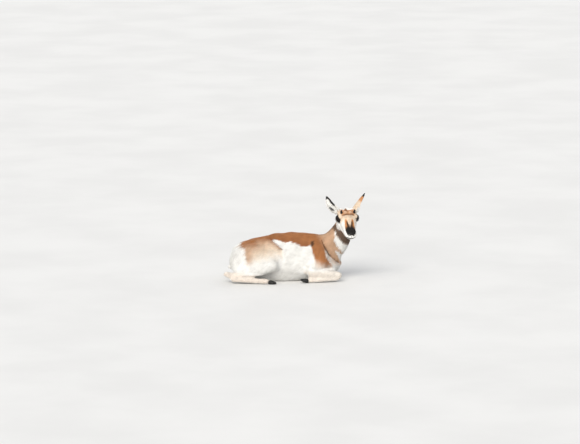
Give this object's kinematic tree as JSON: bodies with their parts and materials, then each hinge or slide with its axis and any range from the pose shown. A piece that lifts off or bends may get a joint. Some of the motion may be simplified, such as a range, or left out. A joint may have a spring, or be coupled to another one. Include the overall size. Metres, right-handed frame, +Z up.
{
  "type": "pronghorn",
  "caption": "Life-size young pronghorn doe lying on folded legs with her head turned to one side, ears raised, tan and white coat, short black horn tips.",
  "frame": {"origin": "middle of the bounding box at floor level, under the belly", "axes": "+X is the way the body points, from rump to chest; +Z is up; -Y is the doe's right, the side that the head is turned to"},
  "size_m": [1.0428, 0.451, 0.6448],
  "materials": {
    "coat": "short tan fur",
    "pale_coat": "white fur",
    "eye": "wet gloss",
    "horn": "smooth horn"
  },
  "bodies": {
    "root": {"head": "coat", "neck": "coat", "torso": "coat", "rump": "pale_coat", "tail": "pale_coat", "foreleg_left": "coat", "foreleg_right": "coat", "hindleg_left": "coat", "hindleg_right": "coat", "ear_left": "coat", "ear_right": "coat", "eye_left": "eye", "eye_right": "eye", "horn_left": "horn", "horn_right": "horn", "claw_foreleg_left_inner": "horn", "claw_foreleg_left_outer": "horn", "claw_foreleg_right_inner": "horn", "claw_foreleg_right_outer": "horn", "claw_hindleg_left_inner": "horn", "claw_hindleg_left_outer": "horn", "claw_hindleg_right_inner": "horn", "claw_hindleg_right_outer": "horn"}
  },
  "joints": []
}
